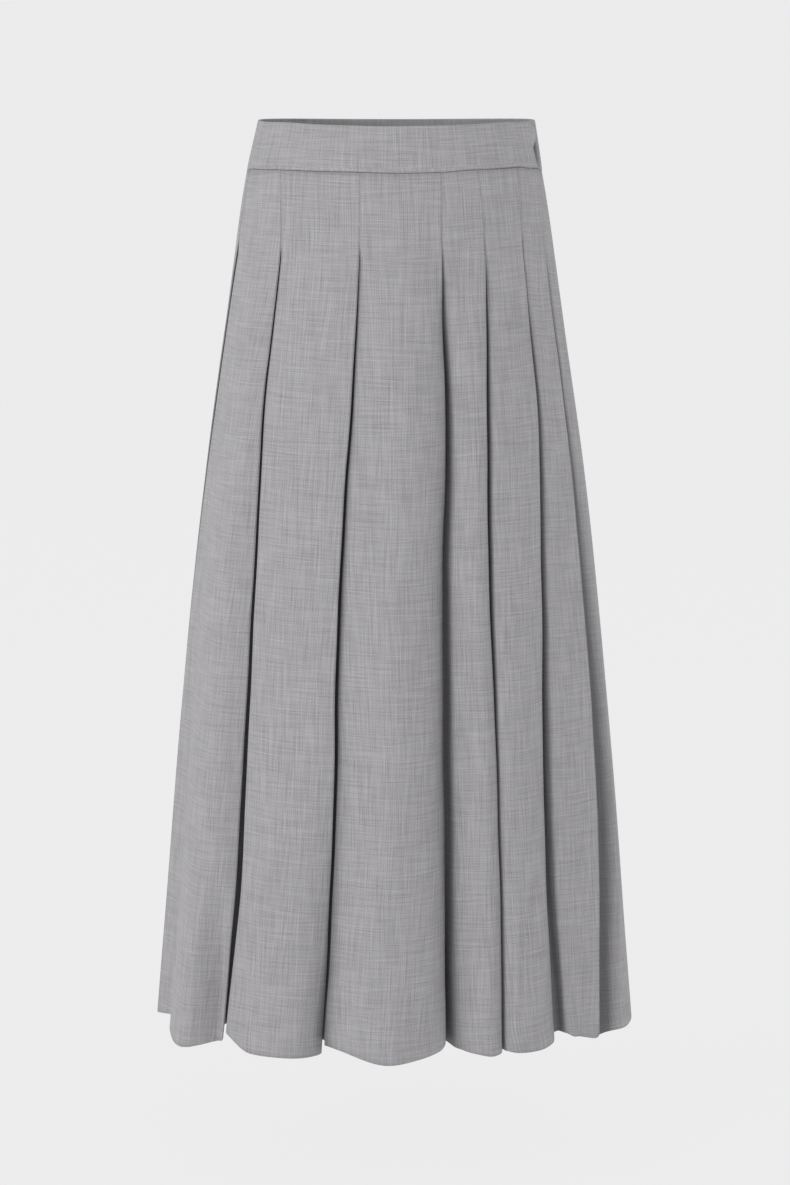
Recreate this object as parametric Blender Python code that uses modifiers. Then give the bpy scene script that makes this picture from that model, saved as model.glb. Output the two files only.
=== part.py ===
"""A long skirt in one-way pleats, filled out as it is worn: two pleated panels, a two-piece band and a side zip.

The frame is in metres with +Z up and the wearer facing -Y. The origin is the middle of the waist opening, half
way up the band. Angles go round the waist from the wearer's right side (0), by the front (90), the wearer's
left side (180) and the back (270). An inset is a distance inwards from the skirt's outer ring.
"""

import math

import bmesh
import bpy
import numpy as np
from mathutils import Matrix, Vector

MM = 0.001
COLLECTION = "pleated_maxi_skirt"
HELPERS = "helper_shapes"

CLOTH = 1.1 * MM
LAYER = 1.75 * MM
FOLD_RADIUS = 0.85 * MM
SEAM_GAP = 0.3 * MM
SEAM_ALLOWANCE = 0.12 * MM

BAND_THICKNESS = 2.4 * MM
BAND_PROUD = 0.4 * MM
BAND_TOP = 22.0 * MM
BAND_SIDE_RISE = 3.0 * MM
BAND_SEAM = -22.0 * MM
BAND_LAP_ANGLE = 166.0
BAND_UNDERLAP_ANGLE = 140.0
BAND_STEP_START = 2.0
BAND_STEP_DEGREES = 6.0
BAND_POCKET = 2.7 * MM
BAND_GAPE = 2.2 * MM
BAND_GAPE_DEGREES = 16.0
BAND_CORNER_DROP = 6.0 * MM
BAND_CORNER_DEGREES = 9.0

SKIRT_TOP = BAND_SEAM - SEAM_GAP
RELEASE = -88.0 * MM
HEM = -883.0 * MM
OPENING_POWER = 0.65
LAP_TOP = 17.0 * MM
LAP_HEM = 38.0 * MM
LAP_MOST_SHARE = 0.52
LAP_SPREAD = 7.0 * MM
HIDDEN_RUN = 5.0 * MM
HIDDEN_LIP = 1.5 * MM
HEM_TILT = 0.24
TILTED_INSET = 24.0 * MM
PANEL_STEP = 24.0 * MM

ZIP_TOP = SKIRT_TOP - 2.0 * MM
ZIP_LENGTH = 170.0 * MM
ZIP_TAPE_WIDTH = 22.0 * MM
ZIP_TAPE = 0.8 * MM
ZIP_CHAIN_RADIUS = 0.9 * MM
ZIP_ROWS = 9
SLIDER_DEPTH = 3.4 * MM
SLIDER_WIDTH = 6.0 * MM
SLIDER_LENGTH = 10.0 * MM
PULL_THICKNESS = 1.2 * MM
PULL_WIDTH = 3.6 * MM
PULL_LENGTH = 22.0 * MM
PULL_SINK = 0.4 * MM

HOOK_ANGLE = 156.0
HOOK_HEIGHT = 2.0 * MM
HOOK_METAL = 0.5 * MM
HOOK_WIDTH = 6.0 * MM
BAR_WIDTH = 2.6 * MM
HOOK_LEG_DEPTH = 2.5 * MM
BAR_DEPTH = 3.25 * MM
HOOK_LIP_DEPTH = 4.0 * MM
HOOK_BACK = 6.0 * MM
HOOK_REACH = 2.6 * MM
HOOK_BEND = 0.6 * MM
HOOK_LIP = 0.6 * MM
BAR_END = 6.0 * MM
BAR_FOOT = 4.6 * MM
BAR_SPAN = 3.8 * MM

# Heights where the skirt's outer ring is given, with its half width and its depths to the front and back, in mm.
RING_COLUMNS = ("height", "half_width", "front", "back")
RINGS = (
    (25, 132.0, 83.0, 82.0),
    (-22, 143.0, 88.5, 87.0),
    (-90, 154.0, 98.0, 101.0),
    (-180, 167.5, 109.0, 118.0),
    (-300, 185.0, 120.0, 131.0),
    (-450, 203.6, 131.0, 141.0),
    (-600, 218.5, 141.0, 148.0),
    (-750, 231.7, 151.0, 154.0),
    (-883, 243.5, 160.0, 160.0),
)

# Heights of the fold angles, in mm: band seam, end of the stitching, hip, thigh, knee and hem.
FOLD_HEIGHTS = (-22, -90, -220, -420, -650, -883)

# One row for each fold and the panel before it: the fold's angle at each of those heights, then how far the panel
# lies inside the ring at the hem, in mm, where it starts, at its rise, middle and shoulder, and at the fold.
FOLD_COLUMNS = ("seam", "release", "hip", "thigh", "knee", "hem", "start", "rise", "middle", "shoulder", "edge")
FOLDS = (
    (41.0, 45.0, 43.5, 46.0, 46.0, 42.5, 5, 12, 4, -12, 10),
    (77.0, 77.5, 76.5, 74.5, 74.5, 72.5, 38, 19, 3, 3, 5),
    (108.0, 107.0, 107.0, 105.0, 104.0, 103.0, 37, 19, 1, 13, 27),
    (124.0, 124.0, 121.5, 118.0, 118.0, 117.0, 45, 31, 16, 8, 9),
    (145.0, 143.5, 143.0, 138.0, 134.5, 133.5, 20, 9, 9, 11, 14),
    (166.5, 160.5, 160.0, 158.0, 156.0, 148.5, 31, 26, 19, 9, 1),
    (197.0, 193.0, 190.5, 187.5, 184.5, 181.5, 16, 9, 0, 0, 0),
    (226.0, 225.0, 222.5, 220.0, 217.5, 215.0, 21, 14, 1, 4, 6),
    (256.0, 255.0, 252.5, 250.0, 247.5, 246.0, 26, 17, 2, 10, 18),
    (285.0, 284.5, 283.0, 281.0, 279.5, 278.0, 28, 18, 1, 8, 16),
    (314.0, 313.0, 312.0, 310.0, 308.5, 307.5, 26, 16, 0, 5, 10),
    (343.0, 341.0, 340.0, 338.5, 337.0, 336.0, 23, 15, 2, 6, 11),
    (372.5, 369.5, 363.0, 361.0, 360.0, 359.5, 22, 14, 3, 3, 0),
)
PANEL_FRACTIONS = (0.0, 0.2, 0.5, 0.8, 1.0)
FRONT_PANELS = range(0, 6)
BACK_PANELS = range(6, 13)

SKIRT_ROWS = (-22.3, -55, -88, -112, -150, -205, -275, -355, -445, -540, -635, -725, -800, -850, -883)

CLOTH_COLOUR = (0.36, 0.35, 0.365, 1.0)
TAPE_COLOUR = (0.16, 0.155, 0.165, 1.0)
METAL_COLOUR = (0.42, 0.42, 0.43, 1.0)


def smooth(x, known_x, known_y):
    """A cubic curve through the known values, with each slope held to what its two neighbours allow."""
    known_x = np.asarray(known_x, float)
    known_y = np.asarray(known_y, float)
    steps = np.diff(known_x)
    rises = np.diff(known_y) / steps
    slopes = np.concatenate([rises[:1], (rises[:-1] + rises[1:]) / 2, rises[-1:]])
    turning = rises[:-1] * rises[1:] <= 0
    slopes[1:-1][turning] = 0.0
    x = np.clip(x, known_x[0], known_x[-1])
    index = np.clip(np.searchsorted(known_x, x, side="right") - 1, 0, len(steps) - 1)
    t = (x - known_x[index]) / steps[index]
    from_start = known_y[index] * (1 + 2 * t) * (1 - t) ** 2 + slopes[index] * steps[index] * t * (1 - t) ** 2
    from_end = known_y[index + 1] * (3 - 2 * t) * t**2 - slopes[index + 1] * steps[index] * t**2 * (1 - t)
    return from_start + from_end


def ring_size(column, z):
    """The named size of the outer ring at each height."""
    depths = [-row[0] * MM for row in RINGS]
    values = [row[RING_COLUMNS.index(column)] * MM for row in RINGS]
    return smooth(-z, depths, values)


def on_ring(angle, inset, z):
    """Points at these angles (radians) on the ring's ellipse, moved in along its normal."""
    half_width = ring_size("half_width", z)
    depth = np.where(np.sin(angle) > 0, ring_size("front", z), ring_size("back", z))
    x = -half_width * np.cos(angle)
    y = -depth * np.sin(angle)
    normal_x = x / half_width**2
    normal_y = y / depth**2
    length = np.hypot(normal_x, normal_y)
    return np.stack([x - inset * normal_x / length, y - inset * normal_y / length, z + 0 * x], axis=-1)


def ring_directions(angle, z):
    """Unit vectors along the ring and inwards, level, at these angles."""
    step = 0.002
    along = on_ring(angle + step, 0.0 * z, z) - on_ring(angle - step, 0.0 * z, z)
    along /= np.linalg.norm(along, axis=-1, keepdims=True)
    return along, np.stack([-along[..., 1], along[..., 0], along[..., 2]], axis=-1)


def arc_per_radian(angle, z):
    half_width = ring_size("half_width", z)
    depth = np.where(np.sin(angle) > 0, ring_size("front", z), ring_size("back", z))
    return np.hypot(half_width * np.sin(angle), depth * np.cos(angle))


def fold_angle(fold, z):
    """The fold's angle at each height; the fold before the first is the last one, a turn back."""
    row = FOLDS[fold]
    depths = [-height * MM for height in FOLD_HEIGHTS]
    degrees = smooth(-z, depths, row[: len(FOLD_HEIGHTS)])
    turn_back = 360.0 if fold < 0 else 0.0
    return np.radians(degrees - turn_back)


def growth(z):
    """How far the pleats have opened: 0 down to the end of the stitching, 1 at the hem."""
    share = np.clip((RELEASE - z) / (RELEASE - HEM), 0.0, 1.0)
    return share**OPENING_POWER


def panel_width(panel, z):
    left, right = fold_angle(panel - 1, z), fold_angle(panel, z)
    return arc_per_radian((left + right) / 2, z) * (right - left)


def on_panel(panel, fraction, z):
    """Points of a panel's outer face, from where it comes out of the last fold (0) to its own fold (1)."""
    before = fold_angle(panel - 1, z)
    left = before + LAYER / arc_per_radian(before, z)
    angle = left + (fold_angle(panel, z) - left) * fraction
    insets = [value * MM for value in FOLDS[panel][FOLD_COLUMNS.index("start") :]]
    inset = growth(z) * smooth(fraction, PANEL_FRACTIONS, insets)
    points = on_ring(angle, inset, z)
    points[..., 2] += HEM_TILT * growth(z) * np.minimum(inset, TILTED_INSET)
    return points


def inward(panel, fraction, z):
    """The panel's along and inward directions in plan, as unit vectors."""
    step = 0.01
    ahead = on_panel(panel, np.minimum(fraction + step, 1.0), z)
    behind = on_panel(panel, np.maximum(fraction - step, 0.0), z)
    along = ahead - behind
    along[..., 2] = 0.0
    along /= np.linalg.norm(along, axis=-1, keepdims=True)
    return along, np.stack([-along[..., 1], along[..., 0], along[..., 2]], axis=-1)


def lap_share(panel, z):
    """The part of a panel's width that is doubled behind its fold."""
    lap = LAP_TOP + (LAP_HEM - LAP_TOP) * growth(z)
    return np.minimum(lap / panel_width(panel, z), LAP_MOST_SHARE)


def behind_panel(panel, t, depth, z, back=0.0):
    """Points behind a panel's lap, from its fold (t = 0) to the inner fold (t = 1), set in by depth."""
    fraction = 1.0 - lap_share(panel, z) * t + back / panel_width(panel, z)
    fraction = np.minimum(fraction, 1.0)
    _, inwards = inward(panel, fraction, z)
    return on_panel(panel, fraction, z) + inwards * np.asarray(depth)[..., None]


def under_depth(t, z):
    """Depth of the cloth that runs back from the fold."""
    return LAYER + growth(z) * LAP_SPREAD * t


def inner_depth(z):
    """Depth of the cloth just past the inner fold, on its way forward again."""
    return under_depth(1.0, z) + LAYER


def seam_end(panel, side, z):
    """The edge of one panel's cloth at the seam in a pleat's inner fold; side is -1 outside and 1 inside."""
    half = (CLOTH + SEAM_GAP) / 2 + SEAM_ALLOWANCE
    middle = (under_depth(1.0, z) + inner_depth(z)) / 2
    return behind_panel(panel, 1.0, middle + side * half, z, back=FOLD_RADIUS)


def hidden_columns(panel, z):
    """The cloth that runs forward behind a fold, and the corner where it turns out to the next panel's start."""
    following = (panel + 1) % len(FOLDS)
    start = on_panel(following, 0.0 * z, z)
    along, inwards = ring_directions(fold_angle(panel, z), z)
    open_share = growth(z)[:, None]
    corner = start + inwards * (2 * LAYER * (1 - open_share) + HIDDEN_LIP * open_share)
    corner -= along * HIDDEN_RUN * open_share
    inner = behind_panel(panel, 1.0, inner_depth(z), z, back=FOLD_RADIUS)
    pressed = behind_panel(panel, 0.5, under_depth(0.5, z) + LAYER, z)
    hanging = (inner + corner) / 2
    return [pressed + (hanging - pressed) * open_share, corner]


def fold_columns(panel, z):
    """The turn at a fold and the cloth that runs back from it."""
    ones = np.ones_like(z)
    near = behind_panel(panel, 0.0, 0.0 * z, z, back=-FOLD_RADIUS)
    _, inwards = inward(panel, ones, z)
    tip = on_panel(panel, ones, z) + inwards * LAYER / 2
    turned = behind_panel(panel, 0.0, LAYER * ones, z, back=-FOLD_RADIUS)
    return [near, tip, turned, behind_panel(panel, 0.5, under_depth(0.5, z), z)]


def inner_turn_columns(panel, z):
    outer = behind_panel(panel, 1.0, under_depth(1.0, z), z, back=FOLD_RADIUS)
    tip = behind_panel(panel, 1.0, (under_depth(1.0, z) + inner_depth(z)) / 2, z)
    inner = behind_panel(panel, 1.0, inner_depth(z), z, back=FOLD_RADIUS)
    return [outer, tip, inner]


def face_columns(panel, z):
    """The panel's outer face; the points over its lap are level with those of the cloth behind."""
    plain = 1.0 - lap_share(panel, z)
    steps = max(3, round(float(panel_width(panel, np.array([HEM]))[0] / PANEL_STEP)))
    columns = [on_panel(panel, plain * index / steps, z) for index in range(steps + 1)]
    columns.append(on_panel(panel, 1.0 - lap_share(panel, z) / 2, z))
    return columns


def skirt_columns(panels, z):
    """One cut panel of the skirt, from the seam in the pleat before it to the seam in its last pleat."""
    first, last = panels[0], panels[-1]
    columns = [seam_end(first - 1, 1, z)] + hidden_columns(first - 1, z)
    for panel in panels:
        columns += face_columns(panel, z) + fold_columns(panel, z)
        if panel != last:
            columns += inner_turn_columns(panel, z) + hidden_columns(panel, z)
    return columns + [seam_end(last, -1, z)]


def material(name, colour, roughness, metallic=0.0):
    made = bpy.data.materials.new(name)
    made.use_nodes = True
    shader = made.node_tree.nodes["Principled BSDF"]
    shader.inputs["Base Color"].default_value = colour
    shader.inputs["Roughness"].default_value = roughness
    shader.inputs["Metallic"].default_value = metallic
    return made


def add_object(name, mesh, finish):
    obj = bpy.data.objects.new(name, mesh)
    bpy.data.collections[COLLECTION].objects.link(obj)
    mesh.materials.append(finish)
    return obj


def sheet(name, columns, thickness, finish):
    """A surface through columns of points, given its thickness evenly on both sides."""
    grid = np.stack(columns, axis=1)
    rows, count = grid.shape[:2]
    faces = []
    for row in range(rows - 1):
        for column in range(count - 1):
            corner = row * count + column
            faces.append((corner, corner + count, corner + count + 1, corner + 1))
    mesh = bpy.data.meshes.new(name)
    mesh.from_pydata(grid.reshape(-1, 3).tolist(), [], faces)
    mesh.shade_smooth()
    obj = add_object(name, mesh, finish)
    wall = obj.modifiers.new("wall", "SOLIDIFY")
    wall.thickness = thickness
    wall.offset = 0.0
    wall.use_even_offset = True
    return obj


def band_surface(degrees, inset, drop, gape):
    """Band points at each angle: rows from the seam to the top edge, standing out by gape half way up."""
    shares = np.array([0.0, 0.25, 0.5, 0.75, 1.0])
    columns = []
    for angle, depth, fall, lift in zip(np.radians(degrees), inset, drop, gape):
        top = BAND_TOP + BAND_SIDE_RISE * math.cos(angle) ** 2 - fall
        z = BAND_SEAM + (top - BAND_SEAM) * shares
        columns.append(on_ring(np.full_like(z, angle), depth - lift * np.sin(math.pi * shares), z))
    return columns


def band_side_seam():
    """The angle in degrees of the band's seam at the wearer's right side."""
    return math.degrees(fold_angle(-1, np.array([BAND_SEAM]))[0])


def near_lap_end(degrees, reach):
    """0 at this reach in degrees before or after the end of the lap, and 1 at the end."""
    return np.clip(1 - np.abs(degrees - BAND_LAP_ANGLE) / reach, 0, 1)


def front_band(finish):
    degrees = np.linspace(band_side_seam(), BAND_LAP_ANGLE, 30)
    middle = BAND_THICKNESS / 2 - BAND_PROUD
    drop = BAND_CORNER_DROP * near_lap_end(degrees, BAND_CORNER_DEGREES) ** 2
    gape = BAND_GAPE * near_lap_end(degrees, BAND_GAPE_DEGREES) ** 2
    columns = band_surface(degrees, np.full_like(degrees, middle), drop, gape)
    return sheet("waistband_front", columns, BAND_THICKNESS, finish)


def back_band(finish):
    """The back half of the band, which steps in by the lap's end and runs on under the front half."""
    arc = float(arc_per_radian(np.array([0.0]), np.array([BAND_SEAM]))[0])
    end = 360 + band_side_seam() - math.degrees((SEAM_GAP + SEAM_ALLOWANCE / 2) / arc)
    step_from, step_to = BAND_LAP_ANGLE - BAND_STEP_START, BAND_LAP_ANGLE + BAND_STEP_DEGREES
    lapped = np.linspace(BAND_UNDERLAP_ANGLE, step_from, 6)
    step = np.linspace(BAND_LAP_ANGLE, step_to, 5)
    rest = np.linspace(step_to, end, 34)[1:]
    degrees = np.concatenate([lapped, step, rest])
    middle = BAND_THICKNESS / 2 - BAND_PROUD
    under = middle + BAND_THICKNESS + BAND_POCKET
    share = np.clip((degrees - step_from) / (step_to - step_from), 0, 1)
    inset = under + (middle - under) * share * share * (3 - 2 * share)
    lowered = np.where(degrees < BAND_LAP_ANGLE, 1.0, near_lap_end(degrees, BAND_CORNER_DEGREES))
    columns = band_surface(degrees, inset, BAND_CORNER_DROP * lowered**2, np.zeros_like(degrees))
    return sheet("waistband_back", columns, BAND_THICKNESS, finish)


def zip_rows(top):
    return np.linspace(top, ZIP_TOP - ZIP_LENGTH, ZIP_ROWS)


def zip_point(across, inset, z):
    """A point behind the side seam, which lies in the inner fold of the front's last pleat."""
    panel = FRONT_PANELS[-1]
    fraction = 1.0 - lap_share(panel, z) + across / panel_width(panel, z)
    _, inwards = inward(panel, fraction, z)
    depth = inner_depth(z) + CLOTH / 2 + SEAM_GAP + inset
    return on_panel(panel, fraction, z) + inwards * depth[:, None]


def zip_tape(finish):
    z = zip_rows(ZIP_TOP)
    shares = np.linspace(-0.5, 0.5, 5)
    columns = [zip_point(ZIP_TAPE_WIDTH * share, ZIP_TAPE / 2, z) for share in shares]
    return sheet("zip_tape", columns, ZIP_TAPE, finish)


def zip_chain(finish):
    """The closed teeth as one round strand down the middle of the tape."""
    z = zip_rows(ZIP_TOP - SLIDER_LENGTH - 2 * SEAM_GAP)
    points = zip_point(0.0, ZIP_TAPE + SEAM_GAP + ZIP_CHAIN_RADIUS, z)
    curve = bpy.data.curves.new("zip_chain", "CURVE")
    curve.dimensions = "3D"
    curve.bevel_depth = ZIP_CHAIN_RADIUS
    curve.bevel_resolution = 2
    curve.use_fill_caps = True
    spline = curve.splines.new("POLY")
    spline.points.add(len(points) - 1)
    for target, point in zip(spline.points, points):
        target.co = (*point, 1.0)
    return add_object("zip_chain", curve, finish)


def box_mesh(name, size, centre):
    shape = bmesh.new()
    bmesh.ops.create_cube(shape, size=1.0)
    bmesh.ops.scale(shape, vec=size, verts=shape.verts)
    bmesh.ops.translate(shape, vec=centre, verts=shape.verts)
    mesh = bpy.data.meshes.new(name)
    shape.to_mesh(mesh)
    shape.free()
    return mesh


def zip_slider(finish):
    """The slider's body at the top of the chain, with its pull lying down the chain as one piece with it."""
    z = np.array([ZIP_TOP, ZIP_TOP - SLIDER_LENGTH])
    top, bottom = (Vector(point) for point in zip_point(0.0, ZIP_TAPE + SEAM_GAP, z))
    side = Vector(zip_point(MM, ZIP_TAPE + SEAM_GAP, z)[0]) - top
    up = (top - bottom).normalized()
    inwards = side.cross(up).normalized() * -1
    along = up.cross(inwards)
    place = Matrix((inwards, along, up)).transposed().to_4x4()
    place.translation = (top + bottom) / 2
    body = box_mesh("zip_slider", (SLIDER_DEPTH, SLIDER_WIDTH, SLIDER_LENGTH), (SLIDER_DEPTH / 2, 0, 0))
    slider = add_object("zip_slider", body, finish)
    slider.matrix_world = place
    pull_depth = SLIDER_DEPTH + PULL_THICKNESS / 2 - PULL_SINK
    pull_drop = SLIDER_LENGTH / 4 - PULL_LENGTH / 2
    pull_mesh = box_mesh("pull", (PULL_THICKNESS, PULL_WIDTH, PULL_LENGTH), (pull_depth, 0, pull_drop))
    pull = bpy.data.objects.new("pull_shape", pull_mesh)
    bpy.data.collections[HELPERS].objects.link(pull)
    pull.matrix_world = place
    pull.hide_render = True
    pull.display_type = "WIRE"
    joined = slider.modifiers.new("pull", "BOOLEAN")
    joined.operation = "UNION"
    joined.object = pull
    return slider


def band_frame():
    """The place of the hook on the band's ring, and the directions along, up and inwards there."""
    angle = np.full(2, math.radians(HOOK_ANGLE))
    z = np.array([HOOK_HEIGHT, HOOK_HEIGHT + MM])
    level, higher = on_ring(angle, 0.0 * z, z)
    along, _ = ring_directions(angle, z)
    along = along[0]
    up = (higher - level) / np.linalg.norm(higher - level)
    return level, along, up, np.cross(up, along)


def hook_columns(profile, width, runs_up):
    """Columns of points through a bent strip; the profile's first number runs along the band, or up it."""
    origin, along, up, inwards = band_frame()
    run, cross = (up, along) if runs_up else (along, up)
    columns = []
    for distance, depth in profile:
        middle = origin + run * distance + inwards * depth
        columns.append(np.array([middle + cross * width / 2, middle - cross * width / 2]))
    return columns


def hook_and_bar(finish):
    """The hook's leg, its turned end and its lip, and the bar that it holds, raised between two flat feet."""
    hook = (
        (-HOOK_BACK, HOOK_LEG_DEPTH),
        (HOOK_REACH - HOOK_BEND, HOOK_LEG_DEPTH),
        (HOOK_REACH, (HOOK_LEG_DEPTH + HOOK_LIP_DEPTH) / 2),
        (HOOK_REACH - HOOK_BEND, HOOK_LIP_DEPTH),
        (-HOOK_LIP, HOOK_LIP_DEPTH),
    )
    bar = (
        (-BAR_END, HOOK_LIP_DEPTH),
        (-BAR_FOOT, HOOK_LIP_DEPTH),
        (-BAR_SPAN, BAR_DEPTH),
        (BAR_SPAN, BAR_DEPTH),
        (BAR_FOOT, HOOK_LIP_DEPTH),
        (BAR_END, HOOK_LIP_DEPTH),
    )
    sheet("band_hook", hook_columns(hook, HOOK_WIDTH, runs_up=False), HOOK_METAL, finish)
    sheet("band_bar", hook_columns(bar, BAR_WIDTH, runs_up=True), HOOK_METAL, finish)


def main():
    for obj in list(bpy.data.objects):
        bpy.data.objects.remove(obj)
    for name in (COLLECTION, HELPERS):
        bpy.context.scene.collection.children.link(bpy.data.collections.new(name))
    cloth = material("wool_cloth", CLOTH_COLOUR, 0.9)
    tape = material("zip_tape", TAPE_COLOUR, 0.8)
    metal = material("zip_metal", METAL_COLOUR, 0.35, metallic=1.0)
    z = np.array(SKIRT_ROWS) * MM
    sheet("skirt_front", skirt_columns(FRONT_PANELS, z), CLOTH, cloth)
    sheet("skirt_back", skirt_columns(BACK_PANELS, z), CLOTH, cloth)
    front_band(cloth)
    back_band(cloth)
    zip_tape(tape)
    zip_chain(tape)
    zip_slider(metal)
    hook_and_bar(metal)


main()
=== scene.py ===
"""The looks of a long pleated skirt: its cloth, waistband, side zip, hook, stage, lights and camera.

Everything is in metres in the part's own frame: +Z up the wearer's body, the wearer facing -Y, the origin in
the middle of the waist opening. Angles go round the waist from the wearer's right side (0), by the front
(90), the wearer's left side (180) and the back (270). An inset is a distance inwards from the skirt's outer
ring.
"""

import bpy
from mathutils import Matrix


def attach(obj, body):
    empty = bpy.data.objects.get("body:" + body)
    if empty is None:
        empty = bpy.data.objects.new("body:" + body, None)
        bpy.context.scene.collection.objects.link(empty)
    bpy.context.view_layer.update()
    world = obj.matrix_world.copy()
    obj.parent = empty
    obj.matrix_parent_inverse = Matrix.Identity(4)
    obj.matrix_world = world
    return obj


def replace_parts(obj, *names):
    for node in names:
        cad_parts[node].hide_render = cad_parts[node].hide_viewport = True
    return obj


bl_info = {
    "name": "Pleated Maxi Skirt",
    "version": (1, 0, 0),
    "blender": (4, 5, 0),
    "location": "View3D > Sidebar > Skirt",
    "description": "Builds a long skirt in one-way knife pleats with a plain waistband and a hidden side zip",
    "category": "Add Mesh",
}

import math

import bmesh
import bpy
import numpy as np
from mathutils import Vector

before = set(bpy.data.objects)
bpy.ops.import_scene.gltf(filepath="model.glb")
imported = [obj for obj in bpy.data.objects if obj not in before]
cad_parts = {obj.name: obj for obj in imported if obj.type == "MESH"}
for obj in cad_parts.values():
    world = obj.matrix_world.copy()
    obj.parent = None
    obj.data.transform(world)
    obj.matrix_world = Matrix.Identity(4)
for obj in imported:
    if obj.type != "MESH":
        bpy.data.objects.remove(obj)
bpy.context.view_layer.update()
BODY = "root"
MM = 0.001

# The photograph's frame in pixels, and the camera that sees the skirt as it does.
PHOTO_SIZE = (790, 1185)
PHOTO_MIDDLE_COLUMN = 394.5
CAMERA_DISTANCE = 3.0
CAMERA_HEIGHT = 0.178
AIM_HEIGHT = -0.442
SENSOR = 36.0
CLIP_END = 500.0

# The stage. Each light has its name, its place, the point that it faces and its power in watts.
LIGHTS = (
    ("key_light", (-3.2, -1.72, 0.8), (-0.1, 0.0, -0.45), 55.0),
    ("fill_light", (2.4, -2.4, 1.5), (0.0, 0.0, -0.2), 24.0),
)
LIGHT_SIZE = 2.2
LIGHT_ON_SKIRT = 0.62
FLOOR_HALF = 60.0
FLOOR_HEIGHT = -1.03
FLOOR_GLOW = 0.96
FLOOR_COLOUR = (0.06, 0.06, 0.06, 1.0)

# The waistband. Ways round it are in degrees, and shares of its height go from the seam (0) to the top (1).
BAND_THICKNESS = 2.4 * MM
BAND_PROUD = 0.4 * MM
BAND_TOP = 22.4 * MM
BAND_SIDE_RISE = 3.4 * MM
BAND_FRONT_RISE = 1.7 * MM
BAND_FRONT_FROM = 0.3
BAND_FRONT_OVER = 0.4
BAND_SEAM = -22.0 * MM
BAND_LAP_ANGLE = 166.0
BAND_UNDERLAP_ANGLE = 140.0
BAND_STEP_DEGREES = 6.0
BAND_POCKET = 2.7 * MM
BAND_FRONT_COLUMNS = 150
BAND_UNDERLAP_COLUMNS = 24
BAND_STEP_COLUMNS = 16
BAND_BACK_COLUMNS = 190
BAND_GAP_FACTOR = 1.2
BAND_END_RUN = 8.0
BAND_END_TURN = 5.0
BAND_END_CURL = 3.8 * MM
BAND_END_FROM = 0.5
BAND_END_OVER = 0.4
BAND_END_SHARES = (0.45, 0.8, 1.0)
BAND_CORNER_ROUND = 9.0 * MM
BAND_CORNER_RUN = 3.5
BAND_SIDE_LEAN = 3.8 * MM
BAND_SIDE_END = 195
BAND_SIDE_FADE = 20
BAND_CORNER_DROP = 6.0 * MM
BAND_CORNER_DEGREES = 9.0
BAND_RIPPLE = 0.5 * MM
# The shade painted in the mouth of the closure: how far past the lap it starts, over how many degrees it
# fades,  and the power of its curve up the band.
CLOSURE_SHADE_START = 3.0
CLOSURE_SHADE_RUN = 5.0
CLOSURE_SHADE_POWER = 0.7
SEAM_GAP = 0.3 * MM

# The zip.
TAPE_THICKNESS = 0.6 * MM
TAPE_WIDTH = 22.0 * MM
TAPE_ROW_STEP = 1.6 * MM
TAPE_COLUMNS = 23
COIL_PITCH = 1.1 * MM
COIL_POINTS = 10
COIL_WIDTH = 0.72 * MM
COIL_DEPTH = 0.62 * MM
COIL_OFFSET = 0.42 * MM
COIL_WIRE = 0.17 * MM
COIL_SIDES = 5
ROW_GAP = 4.0 * MM

# The pleats, the shade painted into them and the waves in the cloth. Phases are in radians; shares and powers
# have no unit.
SKIRT_TOP = BAND_SEAM - SEAM_GAP
RELEASE = -88.0 * MM
HEM = -883.0 * MM
OPENING_POWER = 0.65
LAP_TOP = 17.0 * MM
LAP_HEM = 38.0 * MM
LAP_MOST_SHARE = 0.52
LAP_SPREAD = 7.0 * MM
HEM_TILT = 0.24
TILTED_INSET = 24.0 * MM
TUCK_RUN = 9.0 * MM
TUCK_STITCHED = 0.2
STITCH_END = 12.0 * MM
START_OVERLAP = 0.1
TURN_HANDLE = 8.0 * MM
LAP_NEAR_TURN = 0.8
FACE_NEAR_START = 0.03
LEAST_GAP = 0.05 * MM
GAP_STEEPNESS = 2.6
# Sizes of the shade painted in the pleats: beside each fold, on its turn and on its rolled edge.
GAP_SHADED_SHARE = 0.8
SHADE_POWER = 1.4
LEAST_FADE = 0.5 * MM
SHADE_RUN = 40.0 * MM
TURN_SHADE = 0.3
ROLL_SHADE = 18.0
LAP_SHARES = (0.1, 0.25, 0.4, 0.55, 0.7, 0.85, 1.0)
WAY_OUT_SHARES = (0.1, 0.24, 0.37, 0.5, 0.63, 0.77, 0.9)
SHADED_WIDTH = 1.1 * MM
ROLL_OPENING = 80.0 * MM
GAP_DEEPEST = 16.0 * MM
LIFT_RUN = 130.0 * MM
CORNER_RISE = 28.0 * MM
WANDER_PHASE = 2.4
WAVE_PHASE = 1.9
WAVE_PHASE_START = 0.7
WAVE_START_SHARE = 0.15
WAVE_END_SHARE = 0.12
WAVE_FADE = 50.0 * MM
# How strongly the shade painted into the wool darkens it, and the near-black that it is painted towards.
SHADE_STRENGTH = 0.7
PAINTED_SHADE_COLOUR = (0.02, 0.02, 0.022, 1.0)
MAP_STEP_ACROSS = 0.61
MAP_STEP_DOWN = 0.37

# The noises of the weave: cells to the metre across the cloth and down it, and the turn in radians.
WARP_YARNS = (1150.0, 22.0, 0.55)
WEFT_YARNS = (24.0, 1150.0, 1.02)
WARP_STREAKS = (420.0, 8.0, 0.72)
WEFT_STREAKS = (10.0, 420.0, 0.83)
FLECKS = (1300.0, 1150.0, 0.4)
TAPE_YARNS = (1500.0, 90.0, 0.0)
TAPE_RIBS = (120.0, 1700.0, 0.6)

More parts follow.
